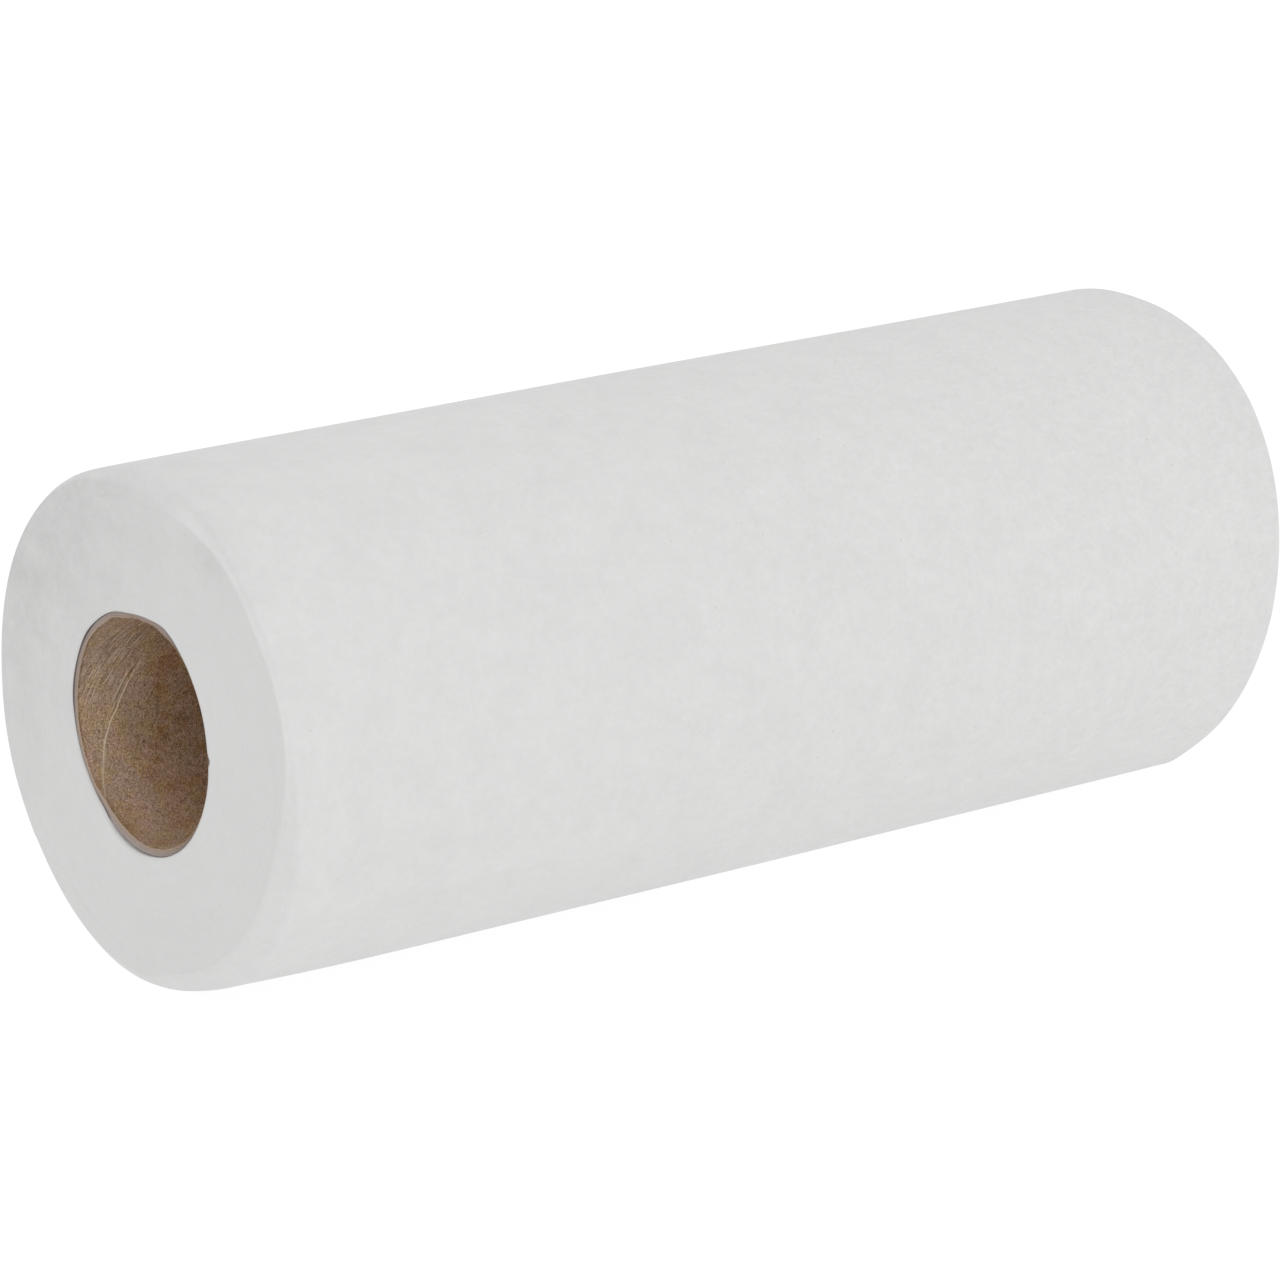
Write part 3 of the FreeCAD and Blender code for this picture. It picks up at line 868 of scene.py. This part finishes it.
def board_material():
    mat, nt, bsdf = new_material("kraft_board")
    N = Nodes(nt)
    co = N.coords()
    ply = N.attr("ply", "Vector")
    seam, gap, rim = N.attr("seam"), N.attr("seam_gap_shade"), N.attr("rim")
    _, side, high = N.sep(co)[:3]
    up = N.math("SUBTRACT", high, AXIS_Z * MM)
    px, py, share = N.sep(ply)[:3]
    painted_shade_at, rust_at, wrinkled = N.sep(N.attr("board_tone", "Vector"))[:3]

    def moved(dx, dy, dz):
        return N.node("ShaderNodeVectorMath", {0: co, 1: (dx, dy, dz)}, operation="ADD").outputs[0]

    # fibres lie mostly along the ply, felted in a finer grain
    fibre = N.noise(N.comb(N.math("MULTIPLY", px, 900.0), N.math("MULTIPLY", py, 2300.0), 0.0), 1.0, 3.0, 0.6)
    streak = N.noise(N.comb(N.math("MULTIPLY", px, 60.0), N.math("MULTIPLY", py, 900.0), 3.0), 1.0, 3.0, 0.55)
    fold = N.noise(N.comb(N.math("MULTIPLY", px, 230.0), N.math("MULTIPLY", py, 2500.0), 7.0), 1.0, 2.0, 0.5)
    grain = N.noise(co, 3300.0, 2.0, 0.85)
    mottle = N.noise(co, 700.0, 3.0, 0.66)
    pink = N.noise(moved(0.11, 0.07, 0.19), 310.0, 5.0, 0.72)
    olive = N.noise(moved(0.31, 0.17, 0.23), 270.0, 5.0, 0.72)
    rust = N.noise(moved(0.53, 0.41, 0.37), 230.0, 5.0, 0.72)
    broad = N.noise(co, 75.0, 2.0, 0.5)
    light = (0.745, 0.570, 0.418, 1.0)
    dark = (0.225, 0.138, 0.084, 1.0)
    f = N.math("ADD", N.math("MULTIPLY", fibre, 0.22), N.math("MULTIPLY", grain, 0.78))
    base = N.mix(N.span(f, 0.36, 0.64), dark, light)
    # patches of greyish-pink, olive and rust-coloured fibres among the brown, with the grain left in them
    base = N.mix(N.span(pink, 0.46, 0.58), base, (1.08, 1.05, 1.14, 1.0), "MULTIPLY")
    base = N.mix(N.span(olive, 0.48, 0.60), base, (1.02, 1.01, 0.80, 1.0), "MULTIPLY")
    base = N.mix(N.math("MULTIPLY", N.span(rust, 0.50, 0.60), N.math("MULTIPLY_ADD", rust_at, 0.35, 0.65)), base, (0.86, 0.74, 0.60, 1.0), "MULTIPLY")
    base = N.mix(N.math("MULTIPLY", N.span(mottle, 0.53, 0.64), N.math("MULTIPLY_ADD", rust_at, 0.50, 0.40)), base, (0.72, 0.66, 0.58, 1.0), "MULTIPLY")
    base = N.mix(N.span(broad, 0.42, 0.62), base, (1.04, 1.02, 1.02, 1.0), "MULTIPLY")
    base = N.mix(N.math("MULTIPLY", N.span(streak, 0.58, 0.74), 0.25), base, (0.700, 0.550, 0.395, 1.0))
    # paler fibres along the wrinkles, and darker in their hollows as painted shade
    base = N.mix(N.math("MULTIPLY", N.math("MULTIPLY", N.span(fold, 0.555, 0.62), wrinkled), 0.62), base, (0.800, 0.640, 0.520, 1.0))
    base = N.mix(N.math("MULTIPLY", N.math("MULTIPLY", N.span(fold, 0.455, 0.40), wrinkled), 0.36), base, (0.220, 0.135, 0.088, 1.0))
    base = N.mix(N.math("MULTIPLY", seam, 0.80), base, (0.850, 0.710, 0.530, 1.0))
    # painted shade in the open joint
    base = N.mix(N.math("MULTIPLY", gap, 0.78), base, (0.110, 0.066, 0.038, 1.0))
    # sparse dark grains
    pepper = N.math("MULTIPLY", N.span(N.voronoi(co, 900.0), 0.20, 0.10), N.span(N.noise(moved(0.7, 0.2, 0.1), 420.0, 1.0), 0.54, 0.62))
    base = N.mix(N.math("MULTIPLY", pepper, 0.42), base, (0.090, 0.048, 0.026, 1.0))
    specks = N.math("MULTIPLY", N.span(N.voronoi(co, 560.0), 0.14, 0.07), N.span(N.noise(co, 300.0, 1.0), 0.62, 0.67))
    for depth, deg, half in SPOTS:
        at = tuple(float(v) * MM for v in on_axis(-HW + depth, RC - WALL, math.radians(deg)))
        off = N.node("ShaderNodeVectorMath", {0: co, 1: at}, operation="DISTANCE").outputs["Value"]
        specks = N.math("MAXIMUM", specks, N.span(off, half * 1.15 * MM, half * 0.75 * MM))
    base = N.mix(N.math("MULTIPLY", specks, 0.88), base, (0.045, 0.025, 0.014, 1.0))
    # painted shade from the board's tone, tinted by the rust amount
    shade = N.math("MULTIPLY_ADD", painted_shade_at, -0.15, 1.0)
    base = N.mix(1.0, base, N.comb(N.math("MULTIPLY", shade, N.math("MULTIPLY_ADD", rust_at, -0.02, 1.0)),
                                   N.math("MULTIPLY", shade, N.math("MULTIPLY_ADD", rust_at, -0.06, 1.0)),
                                   N.math("MULTIPLY", shade, N.math("MULTIPLY_ADD", rust_at, -0.11, 1.0))), "MULTIPLY")
    # painted shadow: a fine dark line just behind the cut end
    deep = N.attr("depth")
    line = N.math("MULTIPLY", N.span(deep, 0.02 * MM, 0.16 * MM), N.span(deep, 0.62 * MM, 0.30 * MM))
    where = N.math("MULTIPLY", N.span(N.math("ABSOLUTE", N.math("SUBTRACT", N.math("ARCTAN2", up, side), math.radians(6.0))), math.radians(52.0), math.radians(30.0)),
                   N.span(N.noise(co, 260.0, 2.0, 0.5), 0.36, 0.56, 0.35, 1.0))
    base = N.mix(N.math("MULTIPLY", N.math("MULTIPLY", line, where), 0.55), base, (0.085, 0.056, 0.036, 1.0))
    # cut ends: brownish inside, paler and greyer outside, with the plies as faint lines
    plies = N.noise(N.comb(N.math("MULTIPLY", px, 30.0), N.math("MULTIPLY", py, 3600.0), 0.0), 1.0, 1.0, 0.5)
    cut = N.mix(N.span(share, 0.10, 0.75), (0.310, 0.222, 0.165, 1.0), (0.335, 0.285, 0.262, 1.0))
    cut = N.mix(N.math("MULTIPLY", N.span(plies, 0.48, 0.62), 0.13), cut, (0.210, 0.165, 0.140, 1.0))
    cut = N.mix(N.math("MULTIPLY", N.span(grain, 0.42, 0.62), 0.22), cut, (0.500, 0.440, 0.410, 1.0))
    cut = N.mix(N.math("MULTIPLY", rust_at, N.span(share, 0.62, 0.22)), cut, (0.395, 0.305, 0.250, 1.0))
    # painted shade on the cut end: under the paper's overhang and at its outer corner
    cut = N.mix(N.math("MULTIPLY", painted_shade_at, 0.85), cut, (0.125, 0.098, 0.088, 1.0))
    base = N.mix(rim, base, cut)
    N.put(bsdf.inputs["Base Color"], base)
    N.put(bsdf.inputs["Roughness"], N.span(f, 0.3, 0.7, 0.95, 0.80))
    bsdf.inputs["Specular IOR Level"].default_value = 0.25
    h = N.math("ADD", N.math("MULTIPLY", fibre, 0.25), N.math("MULTIPLY", grain, 0.95))
    h = N.math("ADD", h, N.math("MULTIPLY", streak, 0.25))
    h = N.math("ADD", h, N.math("MULTIPLY", N.math("MULTIPLY", fold, wrinkled), 1.2))
    N.put(bsdf.inputs["Normal"], N.bump(h, 0.00014, 0.9))
    return mat


paper.data.materials.append(paper_material())
core.data.materials.append(board_material())

for piece, node, slot in ((paper, "paper_roll", "paper"), (core, "core_tube", "cardboard")):
    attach(piece, "root")
    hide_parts(node)


# ------------------------------------------------------------------ floor and light
def floor_and_light():
    me = bpy.data.meshes.new("floor")
    s = 6.0
    me.from_pydata([(-s, -s, 0), (s, -s, 0), (s, s, 0), (-s, s, 0)], [], [(0, 1, 2, 3)])
    floor = bpy.data.objects.new("floor", me)
    bpy.context.scene.collection.objects.link(floor)
    mat, nt, bsdf = new_material("pale_floor")
    N = Nodes(nt)
    co = N.coords()
    N.put(bsdf.inputs["Base Color"], N.mix(N.span(N.noise(co, 8.0, 2.0), 0.3, 0.7), (0.122, 0.122, 0.122, 1), (0.128, 0.128, 0.128, 1)))
    bsdf.inputs["Roughness"].default_value = 0.9
    bsdf.inputs["Specular IOR Level"].default_value = 0.1
    bsdf.inputs["Emission Color"].default_value = (1, 1, 1, 1)
    bsdf.inputs["Emission Strength"].default_value = 0.90
    me.materials.append(mat)

    world = bpy.data.worlds.new("studio")
    bpy.context.scene.world = world
    world.use_nodes = True
    bg = world.node_tree.nodes["Background"]
    bg.inputs[0].default_value = (1.0, 1.0, 1.0, 1.0)
    bg.inputs[1].default_value = 0.996

    def area(name, at, look, size, power):
        li = bpy.data.lights.new(name, "AREA")
        li.shape = "RECTANGLE"
        li.size, li.size_y = size
        li.energy = power
        ob = bpy.data.objects.new(name, li)
        bpy.context.scene.collection.objects.link(ob)
        d = Vector(look) - Vector(at)
        ob.matrix_world = Matrix.Translation(Vector(at)) @ d.to_track_quat("-Z", "Y").to_matrix().to_4x4()
        return ob

    area("key", (0.55, -1.6, 0.9), (0, 0, 0.04), (1.4, 1.0), 3.52)


floor_and_light()

scene = bpy.context.scene
scene.view_settings.view_transform = "Standard"
scene.view_settings.look = "None"
scene.view_settings.exposure = 0.0
scene.view_settings.gamma = 1.0
